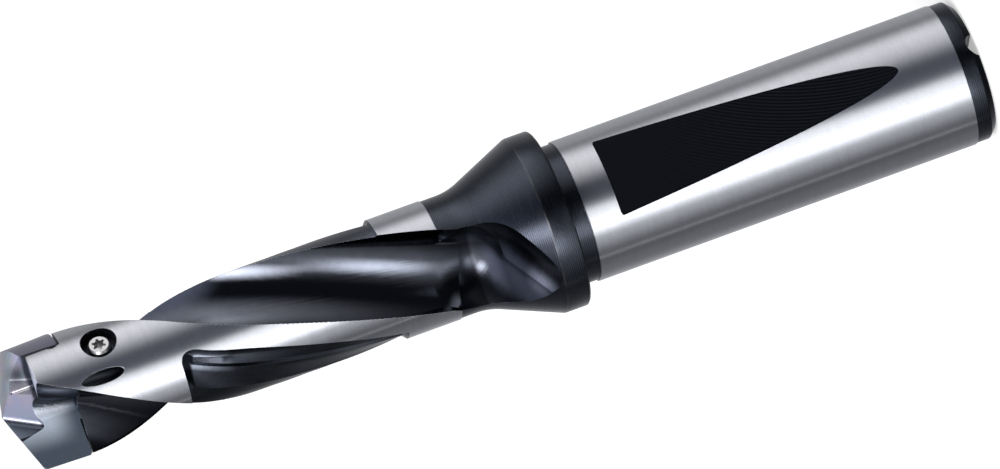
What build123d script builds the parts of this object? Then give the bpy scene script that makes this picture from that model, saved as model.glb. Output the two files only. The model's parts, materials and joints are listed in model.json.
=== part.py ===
from build123d import *
from math import acos, asin, atan, cos, degrees, pi, radians, sin, sqrt, tan
import os

os.makedirs("parts", exist_ok=True)

# Drill that takes a replaceable carbide tip. It stands on the end of its shank, tip up,
# with the axis on Z and the origin at the centre of the shank's end face.
# Lengths are in millimetres and angles in degrees.

# Shank and flange
shank_diameter = 16.0
shank_length = 48.4             # end face to the flange's rear face
end_band_diameter = 15.76
end_band_length = 2.4
end_chamfer = 0.8
neck_diameter = 15.6
neck_length = 1.9
flange_diameter = 20.0
flange_width = 2.7
flange_chamfer = 0.25

# Cone, waist and fluted body
cone_half_angle = 23.0
cone_root_radius = 7.0
waist_diameter = 13.4
land_start = 13.6               # flange's rear face to the rear end of the ground lands
body_diameter = 13.6
body_length = 60.2              # flange's rear face to the jaw faces

# Flutes
core_diameter = 4.2
flute_heel_radius = 5.1
flute_rake_radius = 7.4
flute_rake_reach = 5.15         # sideways from the flute's middle to its straight rake wall
front_lead = 76.0
rear_lead = 132.0
lead_change = 19.8              # jaw faces to the middle of the change of lead
lead_change_length = 7.5
lead_steps = 2
runout_radius = 5.8             # ball-ended cutter that leaves the flute's round end
runout_height = 11.62           # flange's rear face to the ball's centre
runout_lean = 48.7              # cutter's lean towards the rake wall, from radial
runout_tilt = 29.2              # and towards the shank
runout_lip_height = 10.79       # flange's rear face to the ball's centre in a shallower pass
runout_lip_rise = 1.0
heel_angle = -70.3              # heel of the first land at the jaw faces

# Recess milled in each land
recess_front = 15.4             # jaw faces to the front end of the recess
recess_length = 24.9
recess_front_slope = 32.0       # end walls, measured from the axis
recess_rear_slope = 50.0
recess_corner_radius = 1.5
margin_strip_angle = 18.5       # land's leading edge to the recess
recess_depth = 0.95             # at the foot of the wall beside the margin
recess_wall_lean = 3.0
recess_wall_bevel = 0.35        # at the wall's foot
recess_floor_angle = 23.0       # widths of the floor, the step, the shelf and the slope behind it
recess_floor_rise = 0.12
recess_step_angle = 2.5
recess_step = 0.28
recess_shelf_angle = 17.3
recess_shelf_rise = 0.08
recess_slope_angle = 5.0
recess_heel_depth = 0.2         # left below the land's surface at the heel

# Jaws and tip seat
slot_angle = -103.9             # direction square to the slot's walls
slot_width = 5.36
slot_depth = 4.0
seat_gap = 0.26                 # left open behind each wing
slot_opening = 1.5              # axis to where the slot may open into a flute
corner_notch_radius = 0.9
corner_notch_depth = 0.25
fit_clearance = 0.02

# Coolant passages
inlet_bore_diameter = 6.0
inlet_bore_length = 50.0
inlet_chamfer = 0.5
web_bore_diameter = 2.4
outlet_diameter = 1.5
outlet_slope = 18.0             # between the outlet and the axis
outlet_below_jaw = 6.9
outlet_angle = -85.6

# Clamping flat and the groove across the shank's end
flat_front = 5.5                # flange's rear face to the flat's front wall
flat_length = 33.85
flat_depth = 1.41
flat_angle = -71.5
end_groove_width = 2.6
end_groove_depth = 1.05

# Cutting tip
drill_diameter = 14.0
point_angle = 139.0
corner_height = 1.78            # jaw faces to the cutting corners
corner_chamfer = 0.2
wing_rear_chamfer = 0.2
wing_outer_radius = 10.0        # flatter than the drill's own radius, which relieves the wings
wing_heel_angle = -36.0         # rear edge of the first wing's outer face
wing_twist = 1.75               # turn of the outer face, per millimetre of height
lip_offset = 2.0                # cutting lip ahead of the axis
lip_clearance = 3.2             # slope of the flank right behind the lip
flank_radius = 17.0
axial_rake = 12.0
rake_flat_inset = 1.73          # axis to the end of the flat part of the rake face
valley_wall_x = 0.72            # where the flute's valley meets the slot's wall at the jaw faces
valley_drift = 0.3              # sideways run of that place, per millimetre of height
spigot_diameter = 3.0
spigot_length = 7.5
spigot_chamfer = 0.3
spigot_room = 0.6               # left under the spigot
wing_seat_diameter = 6.0        # middle part of the wings that rests on the slot's floor

# Ground cuts in the tip's point. Each has two flat walls and a rounded valley between them:
# a point of the valley, its z above the jaw faces, and the directions that the walls face
heel_start = (3.62, -2.00, 2.12)
heel_outer_wall = (-0.407, -0.770, 0.490)
heel_inner_wall = (0.167, -0.916, 0.364)
heel_radius = 0.5
gash_start = (-0.31, -0.15, 3.78)
gash_lip_wall = (0.611, -0.791, -0.033)
gash_heel_wall = (-0.376, -0.777, 0.505)
gash_radius = 0.8
cut_reach = 6.0                 # length of a ground cut on each side of its start
side_groove_diameter = 0.65
side_groove_start = (2.2, -2.35, 2.45)

# Clamp screw
screw_below_jaw = 7.9
screw_angle = -51.0
screw_counterbore_diameter = 4.0
screw_head_diameter = 2.58
screw_head_length = 1.3
screw_head_bevel = 0.22
screw_head_sink = 0.5           # land surface to the head's face
screw_thread_diameter = 2.0
screw_recess_diameter = 1.55
screw_recess_depth = 0.8
screw_lobe_radius = 0.23
screw_hollow_radius = 0.26
screw_web_radius = 0.67
screw_point_bite = 0.35

# Places and shapes that follow from the sizes above
shank_radius = shank_diameter / 2
flange_radius = flange_diameter / 2
body_radius = body_diameter / 2
waist_radius = waist_diameter / 2
core_radius = core_diameter / 2
drill_radius = drill_diameter / 2
jaw_z = shank_length + body_length
slot_floor_z = jaw_z - slot_depth
land_z = shank_length + land_start
flange_top_z = shank_length + flange_width
cone_top_z = flange_top_z + (flange_radius - waist_radius) / tan(radians(cone_half_angle))
runout_z = shank_length + runout_height
recess_high = jaw_z - recess_front
recess_low = recess_high - recess_length
recess_front_run = recess_depth / tan(radians(recess_front_slope))
recess_rear_run = recess_depth / tan(radians(recess_rear_slope))
far = 2 * flange_diameter       # well outside the drill
overrun = 1.0                   # how far cutting tools run past what they cut


def polar(radius, angle, z=None):
    """Point at a radius and an angle about the axis."""
    x = radius * cos(radians(angle))
    y = radius * sin(radians(angle))
    return (x, y) if z is None else (x, y, z)


def twist_zones():
    """Stretches of constant lead from the jaw faces down: top, bottom and lead."""
    front_rate = 360 / front_lead
    rear_rate = 360 / rear_lead
    step = lead_change_length / lead_steps
    top = jaw_z - lead_change + lead_change_length / 2
    zones = [(jaw_z + slot_depth, top, front_lead)]
    for index in range(lead_steps):
        share = (index + 0.5) / lead_steps
        rate = front_rate + share * (rear_rate - front_rate)
        zones.append((top - index * step, top - (index + 1) * step, 360 / rate))
    zones.append((top - lead_change_length, 0, rear_lead))
    return zones


def twist_at(z):
    """Turn of the flutes at a height, counted from the jaw faces."""
    turn = 0.0
    for top, bottom, lead in twist_zones():
        high = min(top, jaw_z)
        if z < high:
            turn -= (high - max(z, bottom)) * 360 / lead
        elif z > jaw_z and top > jaw_z:
            turn += (z - jaw_z) * 360 / lead
    return turn


def helical(face, low, high):
    """Solids swept by a face drawn at the jaw faces, turning with the flutes."""
    solids = []
    for top, bottom, lead in twist_zones():
        z_low = max(low, bottom)
        z_high = min(high, top)
        if z_high <= z_low:
            continue
        section = (Pos(0, 0, z_low) * Rot(0, 0, twist_at(z_low)) * face).face()
        rise = z_high - z_low
        solids.append(Solid.extrude_linear_with_rotation(
            section, (0, 0, z_low), (0, 0, rise), 360 * rise / lead))
    return solids


def radial_plane(angle, z, radius=0.0):
    """Plane facing outwards: its x runs round the drill and its y along the axis."""
    return Plane(origin=polar(radius, angle, z), x_dir=polar(1, angle + 90, 0),
                 z_dir=polar(1, angle, 0))


def chord_angle(radius, centre, arc_radius):
    """Angle from a circle's middle line to where it crosses a radius."""
    reach = (radius ** 2 + centre ** 2 - arc_radius ** 2) / (2 * radius * centre)
    return degrees(acos(reach))


heel_half_angle = chord_angle(body_radius, core_radius + flute_heel_radius, flute_heel_radius)
rake_half_angle = degrees(asin(flute_rake_reach / body_radius))
flute_angle = heel_angle - heel_half_angle      # middle of the flute below the first heel
lead_angle = flute_angle + 180 - rake_half_angle        # leading edge of the first land
runout_half_angle = chord_angle(body_radius, core_radius + runout_radius, runout_radius)
runout_shift = runout_half_angle - heel_half_angle      # keeps the ball flush with the heel


def flute_face():
    """Section that one flute removes, with its middle on +X."""
    heel_centre = core_radius + flute_heel_radius
    rake_centre = core_radius + flute_rake_radius
    rake_turn = degrees(asin(flute_rake_reach / flute_rake_radius))
    rake_end = rake_centre - flute_rake_radius * cos(radians(rake_turn))
    heel = CenterArc((heel_centre, 0), flute_heel_radius, 90, 90)
    rake = CenterArc((rake_centre, 0), flute_rake_radius, 180, rake_turn)
    walls = Polyline((heel_centre, flute_heel_radius), (far / 2, flute_heel_radius),
                     (far / 2, -flute_rake_reach), (rake_end, -flute_rake_reach))
    return make_face([heel, rake, walls])


def runout_tool(height, rise):
    """Round end of a flute, left by a leaning cutter with a ball end."""
    z = shank_length + height
    angle = flute_angle + twist_at(z) - runout_shift
    centre = core_radius + rise + runout_radius
    align = (Align.CENTER, Align.CENTER, Align.MIN)
    cutter = Cylinder(runout_radius, far / 2, align=align) + Sphere(runout_radius)
    lean = Rot(0, -runout_lean, 0) * Rot(runout_tilt, 0, 0)
    return radial_plane(angle, z, centre) * lean * cutter


def recess_face():
    """Section that the recess in the first land removes, from the margin to past the heel."""
    wall = lead_angle - margin_strip_angle
    step = wall - recess_floor_angle
    shelf = step - recess_step_angle
    slope = shelf - recess_shelf_angle
    strip = slope - recess_slope_angle
    past = heel_angle - recess_wall_lean
    floor = body_radius - recess_depth
    shelf_radius = floor + recess_floor_rise + recess_step
    heel_floor = body_radius - recess_heel_depth
    outside = body_radius + overrun
    lean = recess_wall_lean / 2
    points = [
        polar(outside, wall + lean),
        polar(floor + recess_wall_bevel, wall - lean),
        polar(floor, wall - lean - degrees(recess_wall_bevel / floor)),
        polar(floor + recess_floor_rise, step),
        polar(shelf_radius, shelf),
        polar(shelf_radius + recess_shelf_rise, slope),
        polar(heel_floor, strip),
        polar(heel_floor, (strip + past) / 2),
        polar(heel_floor, past),
        polar(outside, past - lean),
        polar(outside + overrun, (wall + past) / 2),
    ]
    return make_face(Polyline(*points, close=True))


def recess_limit():
    """Ring with sloping ends that bounds a recess along the axis."""
    inner = body_radius - 2 * recess_depth
    outer = body_radius + 2 * recess_depth
    ring = Polyline((inner, recess_low + 2 * recess_rear_run),
                    (outer, recess_low - 2 * recess_rear_run),
                    (outer, recess_high + 2 * recess_front_run),
                    (inner, recess_high - 2 * recess_front_run), close=True)
    return revolve(Plane.XZ * make_face(ring), Axis.Z)


def recess_corner():
    """Block that rounds the recess's front corner beside the margin."""
    angle = lead_angle - margin_strip_angle + twist_at(recess_high)
    helix = degrees(atan(pi * body_diameter / front_lead))
    corner = 90 - helix
    reach = recess_corner_radius / tan(radians(corner / 2))
    centre = (-reach, -recess_corner_radius)
    along = (-reach * cos(radians(corner)), -reach * sin(radians(corner)))
    wedge = make_face(Polyline((overrun, overrun), (-reach, overrun), (-reach, 0), centre,
                               along, (overrun, along[1]), close=True))
    disc = Pos(*centre) * Circle(recess_corner_radius)
    block = extrude(wedge - disc, 2 * flute_heel_radius)
    return radial_plane(angle, recess_high, body_radius - flute_heel_radius) * block


def slot_frame():
    """Plane on the slot's floor: its y is square to the slot's walls, towards the first jaw."""
    return Plane(origin=(0, 0, slot_floor_z), x_dir=polar(1, slot_angle - 90, 0), z_dir=(0, 0, 1))


def beside_jaws(half_width, low, height):
    """Block that holds the slot and what lies in the flutes beside it, but not the jaws."""
    side = far / 2
    slot = Rectangle(far, 2 * half_width)
    first = Pos(-(slot_opening + side) / 2, (half_width - side) / 2) * Rectangle(
        side - slot_opening, side + half_width)
    second = Rot(0, 0, 180) * first
    return slot_frame() * Pos(0, 0, low - slot_floor_z) * extrude(slot + first + second, height)


def turned_blank():
    """Shank, flange, cone and body before milling, as one turned profile."""
    band = end_band_diameter / 2
    neck = neck_diameter / 2
    profile = FilletPolyline(
        (0, 0), (band - end_chamfer, 0), (band, end_chamfer), (band, end_band_length),
        (shank_radius, end_band_length), (shank_radius, shank_length - neck_length),
        (neck, shank_length - neck_length), (neck, shank_length),
        (flange_radius - flange_chamfer, shank_length),
        (flange_radius, shank_length + flange_chamfer), (flange_radius, flange_top_z),
        (waist_radius, cone_top_z), (waist_radius, land_z), (body_radius, land_z),
        (body_radius, jaw_z), (0, jaw_z),
        radius=[0] * 11 + [cone_root_radius, 0, 0, 0, 0], close=True)
    return revolve(Plane.XZ * make_face(profile), Axis.Z)


def clamping_flat():
    """Wedge that the sloping clamping flat removes, deepest at its front wall."""
    front = shank_length - flat_front
    tilt = degrees(atan(flat_depth / flat_length))
    block = Box(far, far, far / 2, align=(Align.CENTER, Align.MAX, Align.MIN))
    return radial_plane(flat_angle, front, shank_radius - flat_depth) * Rot(-tilt, 0, 0) * block


def end_groove():
    """Round-bottomed groove from the inlet bore to the shank's rim, in line with the flat."""
    radius = end_groove_width / 2
    tool = Cylinder(radius, shank_diameter, align=(Align.CENTER, Align.CENTER, Align.MIN))
    return radial_plane(flat_angle, end_groove_depth - radius) * tool


def coolant_passages():
    """Inlet bore, bore in the web and the two sloping outlets in the lands."""
    inlet = Cylinder(inlet_bore_diameter / 2, inlet_bore_length,
                     align=(Align.CENTER, Align.CENTER, Align.MIN))
    mouth = Cone(inlet_bore_diameter / 2 + inlet_chamfer, inlet_bore_diameter / 2, inlet_chamfer,
                 align=(Align.CENTER, Align.CENTER, Align.MIN))
    exit_z = jaw_z - outlet_below_jaw
    meet_z = exit_z - body_radius / tan(radians(outlet_slope))
    web = Cylinder(web_bore_diameter / 2, meet_z + web_bore_diameter,
                   align=(Align.CENTER, Align.CENTER, Align.MIN))
    tools = [inlet, mouth, web]
    for angle in (outlet_angle, outlet_angle + 180):
        direction = Vector(*polar(sin(radians(outlet_slope)), angle, cos(radians(outlet_slope))))
        start = Plane(origin=(0, 0, meet_z), z_dir=direction)
        run = body_radius / sin(radians(outlet_slope)) + outlet_diameter * 4
        tools.append(start * Cylinder(outlet_diameter / 2, run,
                                      align=(Align.CENTER, Align.CENTER, Align.MIN)))
    return tools


def corner_notches():
    """Shallow round reliefs in the jaws' edges beside the rear ends of the wings."""
    half = slot_width / 2
    reach = sqrt(body_radius ** 2 - half ** 2)
    tool = Cylinder(corner_notch_radius, 2.4)
    half_chord = sqrt(corner_notch_radius ** 2
                      - (corner_notch_radius - corner_notch_depth) ** 2)
    centre = half + corner_notch_depth - corner_notch_radius
    notch = slot_frame() * Pos(-reach, centre, seat_gap + half_chord) * Rot(0, 90, 0) * tool
    return [notch, Rot(0, 0, 180) * notch]


def screw_holes():
    """Counterbore and threaded hole for the clamp screw in the first jaw."""
    z = jaw_z - screw_below_jaw
    head_seat = body_radius - screw_head_sink - screw_head_length
    align = (Align.CENTER, Align.CENTER, Align.MIN)
    counterbore = Cylinder(screw_counterbore_diameter / 2, body_radius, align=align)
    hole = Cylinder(screw_thread_diameter / 2 + fit_clearance, body_radius, align=align)
    return [radial_plane(screw_angle, z, head_seat) * counterbore,
            radial_plane(screw_angle, z) * hole]


def spigot_bore():
    """Bore for the tip's spigot, with room under it."""
    bore = Cylinder(spigot_diameter / 2 + fit_clearance, spigot_length + spigot_room,
                    align=(Align.CENTER, Align.CENTER, Align.MAX))
    return Pos(0, 0, slot_floor_z) * bore


def make_drill_body():
    """The steel holder: everything but the tip and its screw."""
    body = turned_blank()
    flute = Rot(0, 0, flute_angle) * flute_face()
    flute_tools = helical(flute, runout_z, jaw_z + overrun)
    flute_tools.append(runout_tool(runout_height, 0))
    flute_tools.append(runout_tool(runout_lip_height, runout_lip_rise))
    recess_tools = helical(recess_face(), recess_low - 2 * recess_rear_run,
                           recess_high + 2 * recess_front_run)
    recess_tools = [tool & recess_limit() for tool in recess_tools]
    recess_tools = [tool - recess_corner() for tool in recess_tools]
    for turn in (0, 180):
        for tool in flute_tools + recess_tools:
            body -= Rot(0, 0, turn) * tool
    body -= beside_jaws(slot_width / 2, slot_floor_z, slot_depth + overrun)
    for tool in corner_notches() + screw_holes() + coolant_passages():
        body -= tool
    body -= spigot_bore()
    body -= clamping_flat()
    body -= end_groove()
    return body


def tip_flute_tool():
    """Solid that one flute removes from the tip: flat rake face, then a hollow valley."""
    half = slot_width / 2 - fit_clearance
    corner_z = jaw_z + corner_height
    slot = Vector(*polar(1, slot_angle))
    sections = []
    for z in (slot_floor_z - 0.5, jaw_z + 5.0):
        rake_y = -lip_offset + tan(radians(axial_rake)) * (corner_z - z)
        valley_x = valley_wall_x + valley_drift * (z - jaw_z)
        valley_y = (half - slot.X * valley_x) / slot.Y
        flat = Line((-far / 2, rake_y, z), (-rake_flat_inset, rake_y, z))
        valley = TangentArc((-rake_flat_inset, rake_y, z), (valley_x, valley_y, z),
                            tangent=(1, 0, 0))
        outside = Polyline((valley_x, valley_y, z), (valley_x + 1.0, -far / 2, z),
                           (-far / 2, -far / 2, z), (-far / 2, rake_y, z))
        sections.append(Wire([*flat.edges(), *valley.edges(), *outside.edges()]))
    return Solid.make_loft(sections, ruled=True)


def lifted(point):
    """A place on the tip in the drill's frame."""
    return Vector(point[0], point[1], jaw_z + point[2])


def flank_block():
    """Block whose upper side is the first wing's flank, a shallow cylinder along its lip."""
    corner_x = sqrt(drill_radius ** 2 - lip_offset ** 2)
    corner = Vector(corner_x, lip_offset, jaw_z + corner_height)
    half_point = radians(point_angle / 2)
    along_lip = Vector(-sin(half_point), 0, cos(half_point))
    upward = Vector(cos(half_point), 0, sin(half_point))
    tilt = radians(lip_clearance)
    centre = corner + Vector(0, flank_radius * sin(tilt), 0) - upward * (flank_radius * cos(tilt))
    return Plane(origin=centre, z_dir=along_lip) * Cylinder(flank_radius, 2 * far)


def valley_cut(start, first_wall, second_wall, radius):
    """Wheel's cut with two flat walls that meet in a rounded valley."""
    first = Vector(*first_wall).normalized()
    second = Vector(*second_wall).normalized()
    valley = second.cross(first).normalized()
    along_first = valley.cross(first)
    if along_first.dot(second) < 0:
        along_first = along_first * -1
    along_second = valley.cross(second)
    if along_second.dot(first) < 0:
        along_second = along_second * -1
    frame = Plane(origin=lifted(start) - valley * cut_reach, x_dir=along_first, z_dir=valley)
    end_x = cut_reach * along_second.dot(frame.x_dir)
    end_y = cut_reach * along_second.dot(frame.y_dir)
    wedge = FilletPolyline((cut_reach, 0), (0, 0), (end_x, end_y), (cut_reach + end_x, end_y),
                           radius=[0, radius, 0, 0], close=True)
    return frame * extrude(make_face(wedge), 2 * cut_reach)


def side_groove():
    """Narrow round-ended groove down the inner heel facet of the first wing."""
    radius = side_groove_diameter / 2
    normal = Vector(*heel_inner_wall)
    down = Vector(0, normal.Z, -normal.Y).normalized() * -1
    align = (Align.CENTER, Align.CENTER, Align.MIN)
    tool = Cylinder(radius, 6, align=align) + Sphere(radius)
    return Plane(origin=lifted(side_groove_start), z_dir=down) * tool


def tip_stock():
    """Blank of the tip's wings: turned, then relieved behind the leading edges."""
    low = slot_floor_z
    corner_z = jaw_z + corner_height
    bevel_z = corner_z - corner_chamfer
    profile = Polyline(
        (0, low), (drill_radius - seat_gap - wing_rear_chamfer, low),
        (drill_radius, low + seat_gap + wing_rear_chamfer), (drill_radius, bevel_z),
        (0, bevel_z + drill_radius), close=True)
    turned = revolve(Plane.XZ * make_face(profile), Axis.Z)
    lead = Vector(*polar(drill_radius, degrees(asin(lip_offset / drill_radius))))
    heel = Vector(*polar(drill_radius, wing_heel_angle))
    inward = Vector(heel.Y - lead.Y, lead.X - heel.X).normalized()
    half_chord = (lead - heel).length / 2
    centre = (lead + heel) / 2 + inward * sqrt(wing_outer_radius ** 2 - half_chord ** 2)
    disc = Pos(centre.X, centre.Y) * Circle(wing_outer_radius)
    lens = disc & (Rot(0, 0, 180) * disc)
    height = far / 2
    section = (Pos(0, 0, low) * Rot(0, 0, (low - corner_z) * wing_twist) * lens).face()
    relieved = Solid.extrude_linear_with_rotation(
        section, (0, 0, low), (0, 0, height), height * wing_twist)
    return turned & relieved


def make_cutting_tip():
    """The carbide tip: two wings between the jaws, ground point and round spigot."""
    half = slot_width / 2 - fit_clearance
    tip = tip_stock() & beside_jaws(half, slot_floor_z - overrun, far)
    heel = valley_cut(heel_start, heel_outer_wall, heel_inner_wall, heel_radius)
    gash = valley_cut(gash_start, gash_lip_wall, gash_heel_wall, gash_radius)
    tools = [tip_flute_tool(), heel, gash, side_groove()]
    for turn in (0, 180):
        tip = tip & Rot(0, 0, turn) * flank_block()
        for tool in tools:
            tip -= Rot(0, 0, turn) * tool
    step = Cylinder(drill_radius + overrun, seat_gap) - Cylinder(wing_seat_diameter / 2, seat_gap)
    tip -= Pos(0, 0, slot_floor_z + seat_gap / 2) * step
    spigot = Cylinder(spigot_diameter / 2, spigot_length,
                      align=(Align.CENTER, Align.CENTER, Align.MAX))
    spigot = chamfer(spigot.faces().sort_by(Axis.Z)[0].edges(), spigot_chamfer)
    tip += Pos(0, 0, slot_floor_z) * spigot
    point = screw_thread_diameter / 2
    bite = Cone(0, point, point, align=(Align.CENTER, Align.CENTER, Align.MIN))
    bottom = spigot_diameter / 2 - screw_point_bite - fit_clearance
    tip -= radial_plane(screw_angle, jaw_z - screw_below_jaw, bottom) * bite
    return tip


def six_lobe():
    """Outline of the screw's six-lobe driver recess."""
    outer = screw_recess_diameter / 2
    outline = Circle(screw_web_radius)
    for index in range(6):
        outline += Pos(*polar(outer - screw_lobe_radius, 60 * index)) * Circle(screw_lobe_radius)
    for index in range(6):
        outline -= Pos(*polar(outer, 60 * index + 30)) * Circle(screw_hollow_radius)
    return outline


def make_clamp_screw():
    """Headed screw with a cone point that bears in the spigot."""
    face_radius = body_radius - screw_head_sink
    seat_radius = face_radius - screw_head_length
    point_radius = spigot_diameter / 2 - screw_point_bite
    thread = screw_thread_diameter / 2
    head = screw_head_diameter / 2
    outline = Polyline(
        (0, point_radius), (thread, point_radius + thread), (thread, seat_radius),
        (head, seat_radius), (head, face_radius - screw_head_bevel),
        (head - screw_head_bevel, face_radius), (0, face_radius), close=True)
    screw = revolve(Plane.XZ * make_face(outline), Axis.Z)
    recess = extrude(six_lobe(), screw_recess_depth)
    screw -= Pos(0, 0, face_radius - screw_recess_depth) * recess
    return radial_plane(screw_angle, jaw_z - screw_below_jaw) * screw


export_step(make_drill_body(), "parts/drill_body.step")
export_step(make_cutting_tip(), "parts/cutting_tip.step")
export_step(make_clamp_screw(), "parts/clamp_screw.step")
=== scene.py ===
import bmesh
import bpy
import json
import math
import numpy as np
from mathutils import Matrix, Vector

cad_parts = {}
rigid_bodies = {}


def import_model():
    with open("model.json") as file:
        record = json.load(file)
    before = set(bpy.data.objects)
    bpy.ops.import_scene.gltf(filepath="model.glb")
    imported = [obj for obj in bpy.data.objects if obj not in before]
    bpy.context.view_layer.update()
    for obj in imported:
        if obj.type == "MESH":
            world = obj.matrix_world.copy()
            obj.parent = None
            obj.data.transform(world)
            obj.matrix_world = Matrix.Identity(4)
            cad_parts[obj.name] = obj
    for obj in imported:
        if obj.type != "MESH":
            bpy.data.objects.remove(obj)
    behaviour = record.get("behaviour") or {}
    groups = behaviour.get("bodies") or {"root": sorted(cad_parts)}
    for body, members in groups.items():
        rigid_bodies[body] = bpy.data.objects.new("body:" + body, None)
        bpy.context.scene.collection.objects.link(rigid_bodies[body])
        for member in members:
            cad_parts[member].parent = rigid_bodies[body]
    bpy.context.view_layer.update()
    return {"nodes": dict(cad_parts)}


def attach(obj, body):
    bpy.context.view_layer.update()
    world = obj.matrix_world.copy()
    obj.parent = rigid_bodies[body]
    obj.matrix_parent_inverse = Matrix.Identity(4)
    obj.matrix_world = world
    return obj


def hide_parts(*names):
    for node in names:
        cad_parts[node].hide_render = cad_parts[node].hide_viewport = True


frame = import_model()
scene = bpy.context.scene
scene.view_settings.view_transform = "Standard"
mm = 0.001      # shapes are worked out in millimetres and written in metres
print("frame loaded:", sorted(frame["nodes"]))


# Camera: far away, because the photograph shows no perspective along the shank
camera = {"elevation": 8.78, "roll": -109.886, "distance": 1.5, "lens": 499.5, "sensor": 36.0,
          "aim": (0.000395, 0.0, 0.054941), "near": 0.05, "far": 60.0}


def makeCamera():
    data = bpy.data.cameras.new("camera")
    data.sensor_fit = "HORIZONTAL"
    data.sensor_width = camera["sensor"]
    data.lens = camera["lens"]
    data.clip_start = camera["near"]
    data.clip_end = camera["far"]
    eye = bpy.data.objects.new("camera", data)
    scene.collection.objects.link(eye)
    lift = math.radians(camera["elevation"])
    back = Vector((0, -math.cos(lift), math.sin(lift)))
    turn = (-back).to_track_quat("-Z", "Y").to_matrix().to_4x4()
    turn = turn @ Matrix.Rotation(math.radians(camera["roll"]), 4, "Z")
    eye.matrix_world = Matrix.Translation(Vector(camera["aim"]) + back * camera["distance"]) @ turn
    scene.camera = eye


makeCamera()
print("camera set")


class Wire:     # one output of a node, so that shader maths reads as plain sums
    def __init__(self, book, socket):
        self.book = book
        self.socket = socket

    def out(self, name):
        return Wire(self.book, self.socket.node.outputs[name])

    def maths(self, kind, *others, turned=False):
        values = (*others, self) if turned else (self, *others)
        return self.book.add("ShaderNodeMath", {"operation": kind}, dict(enumerate(values)))

    def clamped(self):
        return self.book.add("ShaderNodeClamp", {}, {0: self})

    def __add__(self, other):
        return self.maths("ADD", other)

    def __radd__(self, other):
        return self.maths("ADD", other, turned=True)

    def __sub__(self, other):
        return self.maths("SUBTRACT", other)

    def __rsub__(self, other):
        return self.maths("SUBTRACT", other, turned=True)

    def __mul__(self, other):
        return self.maths("MULTIPLY", other)

    def __rmul__(self, other):
        return self.maths("MULTIPLY", other, turned=True)

    def __truediv__(self, other):
        return self.maths("DIVIDE", other)

    def __abs__(self):
        return self.maths("ABSOLUTE")


class NodeBook:     # writes nodes into one tree
    def __init__(self, tree):
        self.tree = tree
        tree.nodes.clear()

    def add(self, kind, settings=None, sockets=None, out=0):
        node = self.tree.nodes.new(kind)
        for name, value in (settings or {}).items():
            if name == "stops":
                self.setStops(node.color_ramp, value)
            else:
                setattr(node, name, value)
        for name, value in (sockets or {}).items():
            socket = node.inputs[name]
            if isinstance(value, Wire):
                self.tree.links.new(value.socket, socket)
            else:
                socket.default_value = value
        return Wire(self, node.outputs[out] if node.outputs else None)

    def setStops(self, ramp, stops):
        while len(ramp.elements) < len(stops):
            ramp.elements.new(0.5)
        for element, (place, colour) in zip(ramp.elements, stops):
            element.position = place
            element.color = colour

    def mix(self, share, first, second):
        return self.add("ShaderNodeMix", {"data_type": "RGBA"}, {0: share, 6: first, 7: second}, 2)

    def place(self):    # x, y and z of the surface in millimetres
        spot = self.add("ShaderNodeTexCoord", out="Object")
        parts = self.add("ShaderNodeSeparateXYZ", {}, {0: spot})
        return parts * 1000, parts.out("Y") * 1000, parts.out("Z") * 1000

    def vector(self, x, y, z):
        return self.add("ShaderNodeCombineXYZ", {}, {0: x, 1: y, 2: z})

    def noise(self, vector, detail=2.0, rough=0.5):
        return self.add("ShaderNodeTexNoise", {}, {
            "Vector": vector, "Scale": 1.0, "Detail": detail, "Roughness": rough})

    def cells(self, spot, across, along, detail=2.0, rough=0.5):    # noise cells per millimetre
        x, y, z = spot
        return self.noise(self.vector(x * across, y * across, z * along), detail, rough)

    def softEdge(self, radius):     # radius in millimetres
        return self.add("ShaderNodeBevel", {"samples": 4}, {"Radius": radius * mm})

    def bump(self, height, depth, edge):    # depth for a height of 1, and radius of the soft edges
        return self.add("ShaderNodeBump", {}, {"Height": height, "Distance": depth * mm,
                                               "Strength": 1.0, "Normal": self.softEdge(edge)})

    def whiteRays(self):    # 1 for the rays that see a plain white background
        rays = self.add("ShaderNodeLightPath", out="Is Camera Ray")
        return (rays + rays.out("Is Glossy Ray") + rays.out("Is Transmission Ray")).clamped()


def ramp(value, low, high):     # straight rise, from 0 at low to 1 at high
    return ((value - low) / (high - low)).clamped()


def rising(value, low, high):   # smooth step, from 0 at low to 1 at high
    return value.book.add("ShaderNodeMapRange", {"interpolation_type": "SMOOTHSTEP"}, {
        "Value": value, "From Min": low, "From Max": high, "To Min": 0.0, "To Max": 1.0})


def hump(value, middle, reach):     # smooth rise and fall, from 0 to 1 and back
    near = (1 - abs(value - middle) / reach).clamped()
    return near * near * (3 - 2 * near)


def distance(*sides):
    return sum((side * side for side in sides[1:]), sides[0] * sides[0]).maths("SQRT")


def grey(value):
    return (value, value, value, 1.0)


def newMaterial(name):
    material = bpy.data.materials.new(name)
    material.use_nodes = True
    return material, NodeBook(material.node_tree)


def makeFinish(name, plain, varying):
    material, book = newMaterial(name)
    shader = book.add("ShaderNodeBsdfPrincipled", {}, {**plain, **varying(book)})
    book.add("ShaderNodeOutputMaterial", {}, {"Surface": shader})
    return material


# Floor: white where the camera or a reflection sees it, and it keeps the drill's shadow
floor = {"size": 14.0, "colour": 0.8, "glow": 0.42}


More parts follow.
